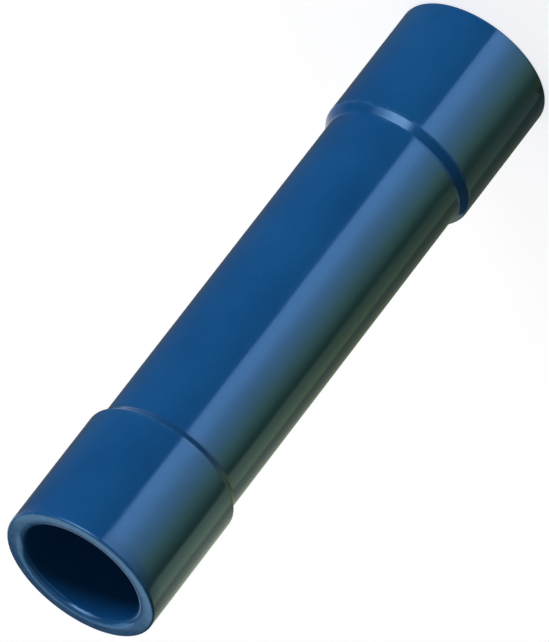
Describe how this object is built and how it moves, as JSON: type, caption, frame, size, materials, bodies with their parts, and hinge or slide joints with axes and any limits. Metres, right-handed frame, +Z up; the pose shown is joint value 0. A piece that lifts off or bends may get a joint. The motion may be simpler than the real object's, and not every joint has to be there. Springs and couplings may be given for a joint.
{
  "type": "butt splice connector",
  "caption": "Butt splice connector: a tinned copper crimp barrel with a central wire stop, held in a blue plastic sleeve whose flared ends take the insulation of the joined wires.",
  "frame": {"origin": "centre of the lower mouth's end face, on the connector's axis", "axes": "+Z up the connector's axis, from the mouth it stands on to the other mouth; the ends are alike, and X and Y are free"},
  "size_m": [0.0058, 0.0058, 0.025],
  "materials": {
    "sleeve_plastic": "gloss",
    "tinned_copper": "satin"
  },
  "bodies": {
    "root": {"insulating_sleeve": "sleeve_plastic", "crimp_barrel": "tinned_copper"}
  },
  "joints": []
}
